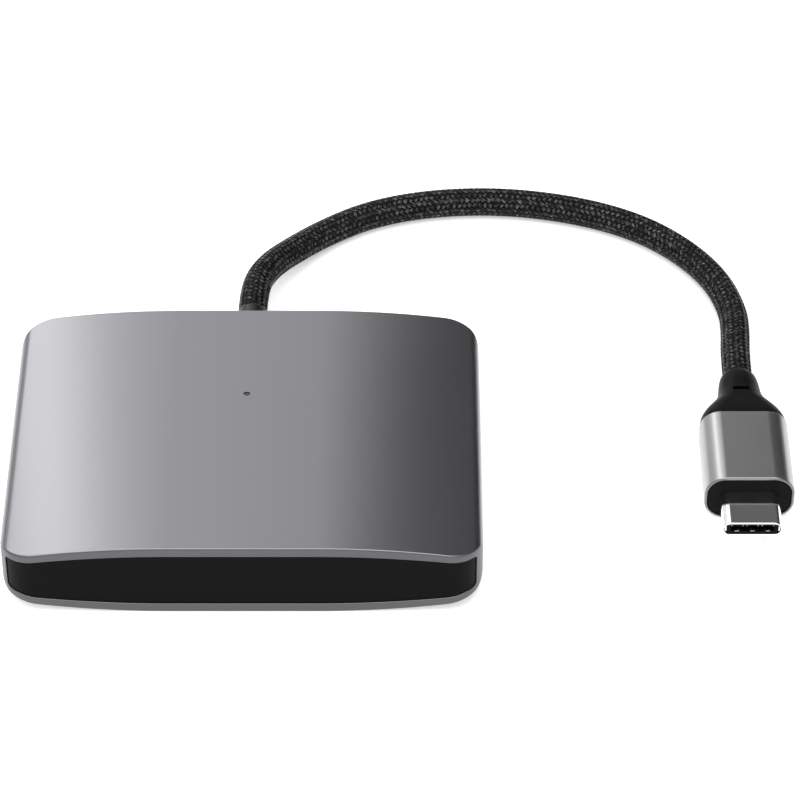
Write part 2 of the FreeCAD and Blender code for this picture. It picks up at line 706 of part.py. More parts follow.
def make_plug_nose():
    insert = new_body("plug_nose_insert")
    narrow = 2 * (s.plug_wall + s.plug_fit)
    bar(insert, "insert_block", rounded_rectangle, s.insert_recess, s.insert_length, s.plug_width - narrow,
        s.plug_height - narrow, s.plug_corner - narrow / 2)
    bore(insert, "insert_hole", stadium, s.insert_recess, None, s.nose_width + 2 * s.plug_fit,
         s.nose_height + 2 * s.plug_fit)
    seat_in_plug(insert, "plug_nose_insert")

    shell = new_body("plug_shell")
    bar(shell, "shell_tube", stadium, -s.nose_reach, s.nose_reach + s.nose_rear, s.nose_width, s.nose_height)
    bore(shell, "shell_hollow", stadium, -s.nose_reach, None, s.nose_width - 2 * s.nose_wall,
         s.nose_height - 2 * s.nose_wall)
    seat_in_plug(shell, "plug_shell")

    insulator = new_body("plug_insulator")
    mouth = s.mouth_recess - s.nose_reach
    width = s.nose_width - 2 * s.nose_wall - 2 * s.insulator_side
    height = s.nose_height - 2 * s.nose_wall - 2 * s.plug_fit
    bar(insulator, "insulator_block", rounded_rectangle, mouth, s.nose_rear - mouth - s.nose_wall, width, height,
        height / 4)
    bore(insulator, "insulator_slot", rounded_rectangle, mouth, s.slot_depth, s.slot_width, s.slot_height,
         s.slot_height / 4)
    seat_in_plug(insulator, "plug_insulator")

    arm_thick = s.insulator_side / 2
    arm_x = width / 2 + s.insulator_side / 2
    arms = [box(f"latch_arm_{number}", (side * arm_x, (mouth + s.nose_rear) / 2), -s.nose_height / 6,
                (arm_thick, s.nose_rear - mouth, s.nose_height / 3))
            for number, side in ((1, -1), (2, 1))]
    yoke = box("latch_yoke", (0, s.nose_rear - s.nose_wall / 2 + s.plug_fit / 2), -s.nose_height / 6,
               (2 * arm_x, s.nose_wall - s.plug_fit, s.nose_height / 3))
    seat_in_plug(fuse("latch_spring", arms + [yoke]), "plug_latch")

    strips = []
    for row, low in ((1, s.slot_height / 2 - s.contact_thickness), (2, -s.slot_height / 2)):
        for column in range(12):
            strips.append(box(f"plug_contact_{row}_{column}",
                              (s.contact_pitch * (column - 5.5) * 0.9, mouth + s.slot_depth - s.contact_length / 2),
                              low, (s.contact_width, s.contact_length, s.contact_thickness)))
    seat_in_plug(together("plug_contact_rows", strips), "plug_contacts")
    springs = []
    for row, low in ((1, s.slot_height / 2 - s.contact_thickness), (2, -s.slot_height / 2)):
        for column in (-1, 0, 1):
            springs.append(box(f"spring_{row}_{column + 2}", (column * 1.9, mouth + 0.75), low,
                               (0.6, 0.9, s.contact_thickness)))
    seat_in_plug(together("plug_spring_rows", springs), "plug_ground_springs")


def make_plug_inside():
    """The plug's own small board, the chip on it and the crimp that holds the cord's braid."""
    start = s.nose_rear + s.plug_fit
    end = s.plug_length - s.relief_plug
    board = box("plug_board_slab", (0, (start + end - 1.6) / 2), -0.4, (8.4, end - 1.6 - start, 0.8))
    seat_in_plug(board, "plug_board")
    seat_in_plug(box("plug_chip_block", (0, (start + end - 1.6) / 2), 0.4, (2.5, 2.5, 0.75)), "plug_chip")
    seat_in_plug(cylinder("crimp_ring", s.cord_radius, 1.55, 0, end - 1.55, 0, ALONG_Y), "plug_crimp")


def make_relief():
    """The bell that narrows from the plug's housing to the cord, with a block inside the housing."""
    body = new_body("plug_strain_relief")
    narrow = 2 * (s.plug_wall + s.plug_fit)
    bar(body, "relief_block", rounded_rectangle, s.plug_length - s.relief_plug, s.relief_plug, s.plug_width - narrow,
        s.plug_height - narrow, s.plug_corner - narrow / 2)
    step = s.relief_length
    tip = 2 * s.cord_radius + 0.1
    stations = (
        (0 * step, s.plug_width - 0.5, s.plug_height - 0.5, s.plug_corner),
        (0.15 * step, s.plug_width - 1.2, s.plug_height - 0.8, s.plug_corner),
        (0.365 * step, 0.5 * (s.plug_width + tip) + 1.4, s.plug_height - 1.3, s.plug_corner - 0.1),
        (0.48 * step, 0.5 * (s.plug_width + tip) - 0.2, tip + 1.7, s.plug_corner - 0.2),
        (0.63 * step, tip + 2.1, tip + 1.3, s.cord_radius + 0.5),
        (0.82 * step, tip + 1.3, tip + 1.0, s.cord_radius + 0.4),
        (step, tip, tip, s.cord_radius),
    )
    sketches = []
    for number, (ahead, width, height, radius) in enumerate(stations):
        sketch = new_sketch(body, f"relief_station_{number}", "XZ_Plane", -(s.plug_length + ahead))
        rounded_rectangle(sketch, "station", width, height, radius)
        sketches.append(sketch)
    loft = body.newObject("PartDesign::AdditiveLoft", "relief_bell")
    loft.Profile = sketches[0]
    loft.Sections = sketches[1:]
    doc.recompute()
    slot = new_sketch(body, "relief_slot_sketch", "XY_Plane", tip / 2 + 0.3)
    rounded_rectangle(slot, "slot", s.relief_slot_width, s.relief_slot_length, s.relief_slot_length / 4)
    slot.setExpression("AttachmentOffset.Base.y", (s.plug_length + 0.55 * step).text)
    pocket(body, "relief_slot", slot, reversed_way=True)
    seat_in_plug(body, "plug_strain_relief")


make_sleeve()
make_end_panel("front_panel", False)
make_end_panel("rear_panel", True)
make_carrier()
make_board()
make_screws()
make_board_parts()
for label, side, end in (("left_front", -1, -1), ("left_rear", -1, 1), ("right_front", 1, -1), ("right_rear", 1, 1)):
    make_socket(label, side, end)
make_gland()
make_wires()
make_cord()
make_plug_housing()
make_plug_nose()
make_plug_inside()
make_relief()

doc.recompute()
for thing in doc.Objects:
    if "Invalid" in thing.State or "Error" in thing.State:
        raise RuntimeError(f"{thing.Name} failed: {thing.State}")
os.makedirs("parts", exist_ok=True)
for thing in sub_parts:
    if thing.Shape.isNull() or not thing.Shape.isValid() or not thing.Shape.Solids:
        raise RuntimeError(f"{thing.Label} has no valid solid")
for thing in sub_parts:
    thing.Shape.exportStep(f"parts/{thing.Label}.step")
    low = thing.Shape.BoundBox
    print(f"{thing.Label}: {len(thing.Shape.Solids)} solids, {thing.Shape.Volume:.2f} mm3, "
          f"x {low.XMin:.2f} {low.XMax:.2f} y {low.YMin:.2f} {low.YMax:.2f} z {low.ZMin:.2f} {low.ZMax:.2f}")
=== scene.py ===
import json
import math
import random
import bpy
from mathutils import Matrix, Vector
from mathutils.kdtree import KDTree

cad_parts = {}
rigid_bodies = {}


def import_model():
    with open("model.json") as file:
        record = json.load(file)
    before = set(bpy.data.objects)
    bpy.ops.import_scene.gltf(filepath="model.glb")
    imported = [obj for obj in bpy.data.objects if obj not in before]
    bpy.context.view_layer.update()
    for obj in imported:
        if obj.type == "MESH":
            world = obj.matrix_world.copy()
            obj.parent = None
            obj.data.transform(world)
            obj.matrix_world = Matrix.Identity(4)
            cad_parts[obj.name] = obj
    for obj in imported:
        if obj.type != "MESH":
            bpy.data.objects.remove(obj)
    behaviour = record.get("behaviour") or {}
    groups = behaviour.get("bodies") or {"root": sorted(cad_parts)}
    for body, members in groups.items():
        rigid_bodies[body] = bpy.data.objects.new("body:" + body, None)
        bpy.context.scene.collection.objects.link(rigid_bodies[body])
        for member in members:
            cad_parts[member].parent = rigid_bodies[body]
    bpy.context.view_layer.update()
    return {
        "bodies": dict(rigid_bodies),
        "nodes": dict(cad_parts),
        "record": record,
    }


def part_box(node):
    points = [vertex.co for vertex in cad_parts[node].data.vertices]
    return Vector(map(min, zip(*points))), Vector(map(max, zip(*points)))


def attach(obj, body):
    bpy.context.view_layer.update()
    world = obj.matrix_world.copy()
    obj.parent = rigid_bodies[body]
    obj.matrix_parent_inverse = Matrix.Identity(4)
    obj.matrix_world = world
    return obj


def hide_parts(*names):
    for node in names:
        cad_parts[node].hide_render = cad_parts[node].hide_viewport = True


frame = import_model()
root = list(frame["bodies"])[0]
mm = 0.001
print("frame loaded:", len(frame["nodes"]), "nodes")


cameraSetup = {"focal": 168.7, "film": 36.0, "place": (0.0213, -0.3817, 0.3602), "pitch": 48.0}


def addCamera():
    data = bpy.data.cameras.new("camera")
    data.lens = cameraSetup["focal"]
    data.sensor_width = cameraSetup["film"]
    camera = bpy.data.objects.new("camera", data)
    camera.location = cameraSetup["place"]
    camera.rotation_euler = (math.radians(cameraSetup["pitch"]), 0, 0)
    bpy.context.scene.collection.objects.link(camera)
    bpy.context.scene.camera = camera


addCamera()
print("camera set")


class Wire:
    # a socket that plain arithmetic can be written with
    def __init__(self, tree, socket=None):
        self.tree = tree
        self.socket = socket

    def node(self, kind, settings=None, inputs=None, output=0):
        # any node: its settings first, then the values or wires of its sockets
        made = self.tree.nodes.new("ShaderNode" + kind)
        for name, value in (settings or {}).items():
            if name == "stops":
                fillRamp(made.color_ramp, value)
            else:
                setattr(made, name, value)
        for name, value in (inputs or {}).items():
            if isinstance(value, Wire):
                self.tree.links.new(value.socket, made.inputs[name])
            else:
                made.inputs[name].default_value = value
        return Wire(self.tree, made.outputs[output])

    def maths(self, operation, *values):
        return self.node("Math", {"operation": operation}, dict(enumerate(values)))

    def __add__(self, other):
        return self.maths("ADD", self, other)

    def __mul__(self, other):
        return self.maths("MULTIPLY", self, other)

    def __gt__(self, other):
        return self.maths("GREATER_THAN", self, other)

    def __lt__(self, other):
        return self.maths("LESS_THAN", self, other)

    __radd__ = __add__
    __rmul__ = __mul__


def fillRamp(ramp, stops):
    # grey stops, each a place and a level from 0 to 1
    while len(ramp.elements) < len(stops):
        ramp.elements.new(0.5)
    for element, (place, level) in zip(ramp.elements, stops):
        element.position = place
        element.color = (level, level, level, 1)


class Finish:
    # one material with its principled shader at hand
    def __init__(self, name, fixed):
        self.material = bpy.data.materials.new(name)
        self.material.use_nodes = True
        self.tree = self.material.node_tree
        self.shader = self.tree.nodes["Principled BSDF"]
        self.start = Wire(self.tree)
        for socket, value in fixed.items():
            self.shader.inputs[socket].default_value = value

    def feed(self, socket, wire):
        self.tree.links.new(wire.socket, self.shader.inputs[socket])

    def place(self):
        return self.start.node("TexCoord", output="Object")

    def noise(self, grain, detail=2.0, stretch=(1, 1, 1), place=None):
        # grain is the size of a speckle in metres
        spot = self.start.node("Mapping", inputs={"Vector": place or self.place(), "Scale": stretch})
        return self.start.node("TexNoise", inputs={"Vector": spot, "Scale": 1 / grain, "Detail": detail})

    def blend(self, factor, low, high):
        # between two colours, by a value from 0 to 1
        pair = {0: factor, 6: (*low, 1), 7: (*high, 1)}
        return self.start.node("Mix", {"data_type": "RGBA"}, pair, output=2)

    def bump(self, height, depth, strength):
        return self.start.node("Bump", inputs={"Height": height, "Distance": depth, "Strength": strength})


def shade(colour, factor):
    return tuple(part * factor for part in colour)


def grainedFinish(name, look):
    # a base with fine speckle in its colour, gloss and surface
    finish = Finish(name, {"Metallic": look["metal"], "Specular IOR Level": look.get("mirror", 0.5)})
    speckle = finish.noise(look["grain"], detail=3.0, stretch=look.get("stretch", (1, 1, 1)))
    cloud = finish.noise(look["cloud"], detail=1.0)
    tone = speckle * look["speckle"] + cloud * (1 - look["speckle"])
    low = shade(look["colour"], 1 - look["spread"])
    high = shade(look["colour"], 1 + look["spread"])
    roughLow = look["rough"] - look["glossSpread"] / 2
    finish.feed("Base Color", finish.blend(tone, low, high))
    finish.feed("Roughness", cloud * look["glossSpread"] + roughLow)
    finish.feed("Normal", finish.bump(speckle, look["depth"], look["relief"]))
    return finish


# grain and cloud are the sizes of speckles and of slow changes, in metres; spreads are shares
looks = {
    "anodised_sleeve": {
        "colour": (0.235, 0.231, 0.245), "metal": 1.0, "rough": 0.29,
        "glossSpread": 0.03, "spread": 0.035, "grain": 0.00012, "cloud": 0.02, "speckle": 0.7,
        "depth": 0.000004, "relief": 0.35,
    },
    # a darker copy of the sleeve finish: painted shade on the rim ends
    "sleeve_shaded_end": {
        "colour": (0.11, 0.108, 0.114), "metal": 1.0, "rough": 0.4,
        "glossSpread": 0.04, "spread": 0.04, "grain": 0.00012, "cloud": 0.01, "speckle": 0.7,
        "depth": 0.000004, "relief": 0.35,
    },
    "anodised_plug": {
        "colour": (0.36, 0.36, 0.367), "metal": 1.0, "rough": 0.31,
        "glossSpread": 0.02, "spread": 0.04, "grain": 0.00009, "cloud": 0.006, "speckle": 0.7,
        "depth": 0.000003, "relief": 0.3,
    },
    # a darker copy of the plug finish: painted shade on the front lip and face
    "plug_shaded_end": {
        "colour": (0.2, 0.2, 0.205), "metal": 1.0, "rough": 0.33,
        "glossSpread": 0.02, "spread": 0.04, "grain": 0.00009, "cloud": 0.006, "speckle": 0.7,
        "depth": 0.000003, "relief": 0.3,
    },
    "polished_shell": {
        "colour": (0.86, 0.85, 0.84), "metal": 1.0, "rough": 0.1,
        "glossSpread": 0.06, "spread": 0.03, "grain": 0.0004, "cloud": 0.003, "speckle": 0.3,
        "depth": 0.000002, "relief": 0.1, "stretch": (1, 0.1, 1),
    },
    "panel_black": {
        "colour": (0.004, 0.004, 0.0045), "metal": 0.0, "mirror": 0.035, "rough": 0.42,
        "glossSpread": 0.08, "spread": 0.12, "grain": 0.00016, "cloud": 0.012, "speckle": 0.6,
        "depth": 0.000012, "relief": 0.35,
    },
    "insert_black": {
        "colour": (0.003, 0.003, 0.0034), "metal": 0.0, "mirror": 0.06, "rough": 0.45,
        "glossSpread": 0.08, "spread": 0.12, "grain": 0.00012, "cloud": 0.004, "speckle": 0.6,
        "depth": 0.00001, "relief": 0.3,
    },
    "relief_black": {
        "colour": (0.004, 0.004, 0.0045), "metal": 0.0, "mirror": 0.05, "rough": 0.4,
        "glossSpread": 0.1, "spread": 0.15, "grain": 0.00014, "cloud": 0.005, "speckle": 0.6,
        "depth": 0.000014, "relief": 0.35,
    },
    "gland_black": {
        "colour": (0.004, 0.004, 0.0045), "metal": 0.0, "mirror": 0.3, "rough": 0.33,
        "glossSpread": 0.08, "spread": 0.12, "grain": 0.00014, "cloud": 0.004, "speckle": 0.6,
        "depth": 0.00001, "relief": 0.3,
    },
    "carrier_plastic": {
        "colour": (0.03, 0.03, 0.032), "metal": 0.0, "rough": 0.5,
        "glossSpread": 0.1, "spread": 0.12, "grain": 0.0003, "cloud": 0.008, "speckle": 0.6,
        "depth": 0.00002, "relief": 0.4,
    },
    "chip_resin": {
        "colour": (0.014, 0.014, 0.015), "metal": 0.0, "rough": 0.55,
        "glossSpread": 0.08, "spread": 0.2, "grain": 0.00008, "cloud": 0.002, "speckle": 0.7,
        "depth": 0.00001, "relief": 0.5,
    },
    "socket_plastic": {
        "colour": (0.004, 0.004, 0.004), "metal": 0.0, "mirror": 0.05, "rough": 0.5,
        "glossSpread": 0.08, "spread": 0.15, "grain": 0.0001, "cloud": 0.002, "speckle": 0.6,
        "depth": 0.000008, "relief": 0.3,
    },
    "coil_ferrite": {
        "colour": (0.06, 0.06, 0.065), "metal": 0.0, "rough": 0.6,
        "glossSpread": 0.1, "spread": 0.25, "grain": 0.00015, "cloud": 0.002, "speckle": 0.8,
        "depth": 0.00002, "relief": 0.5,
    },
    "capacitor_ceramic": {
        "colour": (0.35, 0.24, 0.14), "metal": 0.0, "rough": 0.45,
        "glossSpread": 0.08, "spread": 0.15, "grain": 0.00008, "cloud": 0.0012, "speckle": 0.7,
        "depth": 0.000008, "relief": 0.4,
    },
    "led_body": {
        "colour": (0.8, 0.8, 0.72), "metal": 0.0, "rough": 0.25,
        "glossSpread": 0.06, "spread": 0.05, "grain": 0.0001, "cloud": 0.001, "speckle": 0.5,
        "depth": 0.000004, "relief": 0.2,
    },
    "clear_acrylic": {
        "colour": (0.02, 0.021, 0.023), "metal": 0.0, "rough": 0.12,
        "glossSpread": 0.05, "spread": 0.03, "grain": 0.0002, "cloud": 0.001, "speckle": 0.4,
        "depth": 0.000003, "relief": 0.15,
    },
    "wire_jacket": {
        "colour": (0.4, 0.05, 0.04), "metal": 0.0, "rough": 0.45,
        "glossSpread": 0.08, "spread": 0.12, "grain": 0.00012, "cloud": 0.002, "speckle": 0.6,
        "depth": 0.00001, "relief": 0.3,
    },
    "screw_steel": {
        "colour": (0.5, 0.5, 0.51), "metal": 1.0, "rough": 0.3,
        "glossSpread": 0.12, "spread": 0.08, "grain": 0.0002, "cloud": 0.0015, "speckle": 0.5,
        "depth": 0.000006, "relief": 0.3,
    },
    "tinned_steel": {
        "colour": (0.6, 0.6, 0.58), "metal": 1.0, "rough": 0.32,
        "glossSpread": 0.14, "spread": 0.06, "grain": 0.0005, "cloud": 0.004, "speckle": 0.4,
        "depth": 0.000008, "relief": 0.3, "stretch": (1, 0.15, 1),
    },
    "spring_steel": {
        "colour": (0.7, 0.69, 0.67), "metal": 1.0, "rough": 0.22,
        "glossSpread": 0.08, "spread": 0.05, "grain": 0.00015, "cloud": 0.001, "speckle": 0.5,
        "depth": 0.000004, "relief": 0.2, "stretch": (1, 0.2, 1),
    },
    "gold_contacts": {
        "colour": (0.85, 0.62, 0.28), "metal": 1.0, "rough": 0.24,
        "glossSpread": 0.1, "spread": 0.06, "grain": 0.0001, "cloud": 0.001, "speckle": 0.5,
        "depth": 0.000004, "relief": 0.25,
    },
}
boardLook = {
    "mask": (0.012, 0.07, 0.035), "track": (0.02, 0.12, 0.055), "rough": 0.3, "glossSpread": 0.1,
    "cloud": 0.002, "trackPitch": 0.0011, "trackWidth": 0.35, "tracksTogether": 3, "depth": 0.00003,
    "relief": 0.4,
}
# light is the painted highlight colour on the yarns' crowns and lustre its metallic gloss; the glint noise
# makes it stronger or weaker at random
yarnLook = {
    "dark": (0.0025, 0.0025, 0.0028), "light": (0.4, 0.4, 0.405), "rough": 0.27, "roughSpread": 0.16,
    "fibre": 0.00004, "fibreStretch": (0.06, 1, 1), "fibreTint": 0.6,
    "glintSize": 0.0011, "glintStretch": (1, 0.3, 1), "glintFrom": 0.46, "glintTo": 0.7, "least": 0.12,
    "lustre": 0.85, "mirror": 0.06, "depth": 0.00002, "relief": 0.6,
}


def boardFinish(name):
    # solder mask with raised tracks, a few together, that turn from square to square
    finish = Finish(name, {"Metallic": 0.0})
    spot = finish.place()
    square = boardLook["tracksTogether"] * boardLook["trackPitch"]
    squares = {"Vector": spot, "Scale": 1 / square, "Randomness": 0.0}
    block = finish.start.node("TexVoronoi", {"distance": "CHEBYCHEV"}, squares, output="Color")
    turned = finish.start.node("SeparateColor", inputs={"Color": block})
    sides = finish.start.node("SeparateXYZ", inputs={"Vector": spot})
    across = Wire(finish.tree, sides.socket.node.outputs["Y"])
    along = sides * (turned > 0.5) + across * (turned < 0.5)
    wave = finish.start.maths("FRACT", along * (1 / boardLook["trackPitch"]))
    track = wave < boardLook["trackWidth"]
    finish.feed("Base Color", finish.blend(track, boardLook["mask"], boardLook["track"]))
    finish.feed("Roughness", finish.noise(boardLook["cloud"]) * boardLook["glossSpread"] + boardLook["rough"])
    finish.feed("Normal", finish.bump(track, boardLook["depth"], boardLook["relief"]))
    return finish


def yarnFinish(name):
    # fibres run along each yarn's own map, in metres; its crowns get a painted highlight, a paler colour and
    # metallic gloss, stronger or weaker at random
    finish = Finish(name, {"Specular IOR Level": yarnLook["mirror"]})
    spot = finish.start.node("UVMap", {"uv_map": "strand"})
    fibres = finish.noise(yarnLook["fibre"], stretch=yarnLook["fibreStretch"], place=spot)
    glintNoise = finish.noise(yarnLook["glintSize"], detail=1.0, stretch=yarnLook["glintStretch"], place=spot)
    stops = [(yarnLook["glintFrom"], yarnLook["least"]), (yarnLook["glintTo"], 1)]
    crown = finish.start.node("Attribute", {"attribute_name": "crown"}, output=2)
    # the painted highlight: the crown weight times a random strength
    paintedHighlight = crown * finish.start.node("ValToRGB", {"stops": stops}, {"Fac": glintNoise})
    tone = paintedHighlight * (fibres * yarnLook["fibreTint"] + (1 - yarnLook["fibreTint"]))
    roughLow = yarnLook["rough"] - yarnLook["roughSpread"] / 2
    finish.feed("Base Color", finish.blend(tone, yarnLook["dark"], yarnLook["light"]))
    finish.feed("Metallic", paintedHighlight * yarnLook["lustre"])
    finish.feed("Roughness", fibres * yarnLook["roughSpread"] + roughLow)
    finish.feed("Normal", finish.bump(fibres, yarnLook["depth"], yarnLook["relief"]))
    return finish


finishes = {name: grainedFinish(name, look) for name, look in looks.items()}
finishes["board_green"] = boardFinish("board_green")
finishes["braid_black"] = yarnFinish("braid_black")
print("finishes made:", len(finishes))


def paint(piece, name):
    material = finishes[name].material
    if not piece.material_slots:
        piece.data.materials.append(material)
    for slot in piece.material_slots:
        slot.material = material


for part in frame["record"]["subparts"]:
    paint(bpy.data.objects[part["node"]], part["material_slot"])
print("frame pieces painted")


# metres: an outline's points nearer than the first are one, and a mesh's nearer than the second are merged
samePoint = 1e-6
mergeGap = 1e-7


def roundedOutline(width, height, radius, steps):
    # a rectangle with round corners, or a full round-ended slot, as (across, up) points
    points = []
    for corner, (right, top) in enumerate(((1, 1), (-1, 1), (-1, -1), (1, -1))):
        middle = Vector((right * (width / 2 - radius), top * (height / 2 - radius)))
        for step in range(steps + 1):
            turn = (corner + step / steps) * math.pi / 2
            point = middle + radius * Vector((math.cos(turn), math.sin(turn)))
            if not points or (point - points[-1]).length > samePoint:
                points.append(point)
    if (points[-1] - points[0]).length < samePoint:
        points.pop()
    return points


def circleOutline(radius, steps):
    turns = [2 * math.pi * step / steps for step in range(steps)]
    return [Vector((radius * math.cos(turn), radius * math.sin(turn))) for turn in turns]


# the three below stand an outline up across one axis, at a place along it
def alongY(outline, y, x=0.0, z=0.0):
    return [Vector((x + point.x, y, z + point.y)) for point in outline]


def alongX(outline, x, y=0.0, z=0.0):
    return [Vector((x, y + point.x, z + point.y)) for point in outline]


def alongZ(outline, z, x=0.0, y=0.0):
    return [Vector((x + point.x, y + point.y, z)) for point in outline]


def carryRings(name, rings, closed):
    # a circle of points takes the first ring's places, and each extrusion is carried on to the next ring
    bpy.ops.object.select_all(action="DESELECT")
    bpy.ops.mesh.primitive_circle_add(vertices=len(rings[0]))
    piece = bpy.context.object
    piece.name = name
    mesh = piece.data
    for vertex, place in zip(mesh.vertices, rings[0]):
        vertex.co = place
    if not closed:
        bpy.ops.object.mode_set(mode="EDIT")
        bpy.ops.mesh.edge_face_add()
        bpy.ops.object.mode_set(mode="OBJECT")
    for before, after in zip(rings, rings[1:] + rings[:1] * closed):
        bpy.ops.object.mode_set(mode="EDIT")
        if closed:
            bpy.ops.mesh.extrude_edges_move()
        else:
            bpy.ops.mesh.extrude_region_move()
        bpy.ops.object.mode_set(mode="OBJECT")
        finder = KDTree(len(before))
        for number, place in enumerate(before):
            finder.insert(place, number)
        finder.balance()
        for vertex in mesh.vertices:
            if vertex.select:
                vertex.co = after[finder.find(vertex.co)[1]]
    bpy.ops.object.mode_set(mode="EDIT")
    bpy.ops.mesh.select_all(action="SELECT")
    bpy.ops.mesh.remove_doubles(threshold=mergeGap)
    bpy.ops.mesh.normals_make_consistent(inside=False)
    bpy.ops.object.mode_set(mode="OBJECT")
    return piece


def applyAs(piece, kind, **settings):
    bpy.context.view_layer.objects.active = piece
    modifier = piece.modifiers.new(kind.lower(), kind)
    for name, value in settings.items():
        setattr(modifier, name, value)
    bpy.ops.object.modifier_apply(modifier=modifier.name)


def cutWith(piece, cutter):
    applyAs(piece, "BOOLEAN", operation="DIFFERENCE", object=cutter, solver="EXACT")
    bpy.data.objects.remove(cutter)


def smooth(piece, degrees):
    bpy.ops.object.select_all(action="DESELECT")
    piece.select_set(True)
    bpy.context.view_layer.objects.active = piece
    bpy.ops.object.shade_smooth_by_angle(angle=math.radians(degrees))
    applyAs(piece, "WEIGHTED_NORMAL", keep_sharp=True)


def paintTwo(piece, name, second, test):
    # the second finish goes on the faces that pass the test
    piece.data.materials.clear()
    for finish in (name, second):
        piece.data.materials.append(finishes[finish].material)
    for face in piece.data.polygons:
        face.material_index = int(test(face))


def fit(piece, slot, *replaced):
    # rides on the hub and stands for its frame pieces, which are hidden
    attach(piece, root)
    if replaced:
        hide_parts(*replaced)
    return piece


sleeveLow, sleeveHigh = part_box("housing_sleeve")
sleeve = {
    "halfWidth": (sleeveHigh[0] - sleeveLow[0]) / 2, "halfDepth": (sleeveHigh[1] - sleeveLow[1]) / 2,
    "halfHeight": (sleeveHigh[2] - sleeveLow[2]) / 2, "flat": 10 * mm, "straight": 2.5 * mm, "edge": 1.5 * mm,
    "planRadius": 4.9 * mm, "wall": 1.5 * mm, "sideWall": 0.9 * mm, "hollowStraight": 2.2 * mm,
    "hollowEdge": 0.6 * mm, "outerBreak": 0.26 * mm, "innerBreak": 0.12 * mm, "breakSteps": 3, "rimSteps": 3,
    "shoulderSteps": 44, "edgeSteps": 9, "crease": 35,
}
# where the painted shade on the rim ends reaches
rimFaces = {"margin": 2 * mm, "sideMargin": 0.01 * mm, "facing": 0.3, "upright": 0.2}
opening = {
    "width": 9.2 * mm, "height": 3.52 * mm, "pitch": 20 * mm, "flare": 0.14 * mm, "reach": 2.5 * mm,
    "past": 1 * mm, "steps": 12,
}
pinhole = {
    "radius": 0.42 * mm, "forward": 6.6 * mm, "flare": 0.05 * mm, "reach": 2.5 * mm, "past": 1 * mm,
    "steps": 40,
}


def hubOutline(across, up, straight, bend):
    # a flat top and bottom, wide shoulder arcs, small corner arcs and straight sides
    flat = sleeve["flat"]
    run = across - bend - flat
    rise = up - straight
    wide = (run ** 2 + rise ** 2 - bend ** 2) / (2 * (rise - bend))
    lean = math.asin(run / (wide - bend))
    quarter = []
    for step in range(sleeve["edgeSteps"]):
        turn = (math.pi / 2 - lean) * step / sleeve["edgeSteps"]
        quarter.append((across - bend + bend * math.cos(turn), straight + bend * math.sin(turn)))
    for step in range(sleeve["shoulderSteps"] + 1):
        turn = math.pi / 2 - lean * (1 - step / sleeve["shoulderSteps"])
        quarter.append((flat + wide * math.cos(turn), up - wide + wide * math.sin(turn)))
    half = quarter + [(-x, z) for x, z in reversed(quarter)]
    return [Vector(point) for point in half + [(x, -z) for x, z in reversed(half)]]


def planShift(x):
    # how far the rounded plan draws the rim back
    radius = sleeve["planRadius"]
    past = min(abs(x) - (sleeve["halfWidth"] - radius), radius)
    return radius - math.sqrt(radius ** 2 - past ** 2) if past > 0 else 0.0


def rimRing(outline, end, back):
    # an outline stood at one end of the sleeve, some way back from the rim
    return [Vector((point.x, end * (sleeve["halfDepth"] - planShift(point.x) - back),
                    sleeve["halfHeight"] + point.y)) for point in outline]


def outerOutline(inset):
    return hubOutline(sleeve["halfWidth"] - inset, sleeve["halfHeight"] - inset, sleeve["straight"],
                      sleeve["edge"] - inset)


def hollowOutline(grown):
    return hubOutline(sleeve["halfWidth"] - sleeve["sideWall"] + grown,
                      sleeve["halfHeight"] - sleeve["wall"] + grown,
                      sleeve["hollowStraight"], sleeve["hollowEdge"] + grown)


def rimRings(end):
    # from the outer skin over the broken edge, across the rim and into the hollow
    rings = []
    for step in range(sleeve["breakSteps"] + 1):
        turn = math.pi / 2 * step / sleeve["breakSteps"]
        size = sleeve["outerBreak"]
        rings.append(rimRing(outerOutline(size * (1 - math.cos(turn))), end, size * (1 - math.sin(turn))))
    outside = outerOutline(sleeve["outerBreak"])
    inside = hollowOutline(sleeve["innerBreak"])
    for step in range(1, sleeve["rimSteps"]):
        share = step / sleeve["rimSteps"]
        rings.append(rimRing([a.lerp(b, share) for a, b in zip(outside, inside)], end, 0))
    for step in range(sleeve["breakSteps"], -1, -1):
        turn = math.pi / 2 * step / sleeve["breakSteps"]
        size = sleeve["innerBreak"]
        rings.append(rimRing(hollowOutline(size * (1 - math.cos(turn))), end, size * (1 - math.sin(turn))))
    return rings


def openingCutter(side, end):
    # flared where it meets the side, so that the opening's edge is broken
    face = side * sleeve["halfWidth"]
    y = end * opening["pitch"] / 2
    flare = opening["flare"]
    stations = ((opening["past"], 2 * flare), (0, flare), (-flare, 0), (-opening["reach"], 0))
    rings = []
    for out, grown in stations:
        height = opening["height"] + 2 * grown
        outline = roundedOutline(opening["width"] + 2 * grown, height, height / 2, opening["steps"])
        rings.append(alongX(outline, face + side * out, y, sleeve["halfHeight"]))
    return carryRings("openingCutter", rings, False)


def pinholeCutter():
    top = 2 * sleeve["halfHeight"]
    flare = pinhole["flare"]
    stations = ((pinhole["past"], 2 * flare), (0, flare), (-flare, 0), (-pinhole["reach"], 0))
    rings = []
    for up, grown in stations:
        outline = circleOutline(pinhole["radius"] + grown, pinhole["steps"])
        rings.append(alongZ(outline, top + up, 0, pinhole["forward"]))
    return carryRings("pinholeCutter", rings, False)


def onRim(face):
    # the rim ends, with the rounded plan at their corners: these faces take the darker copy of the sleeve
    # finish as painted shade
    radius = sleeve["planRadius"]
    across = abs(face.center.x)
    past = abs(face.center.y) > sleeve["halfDepth"] - radius - rimFaces["margin"]
    corner = across > sleeve["halfWidth"] - radius and abs(face.normal.z) < rimFaces["upright"]
    side = across > sleeve["halfWidth"] - rimFaces["sideMargin"]
    return past and (abs(face.normal.y) > rimFaces["facing"] or (corner and not side))


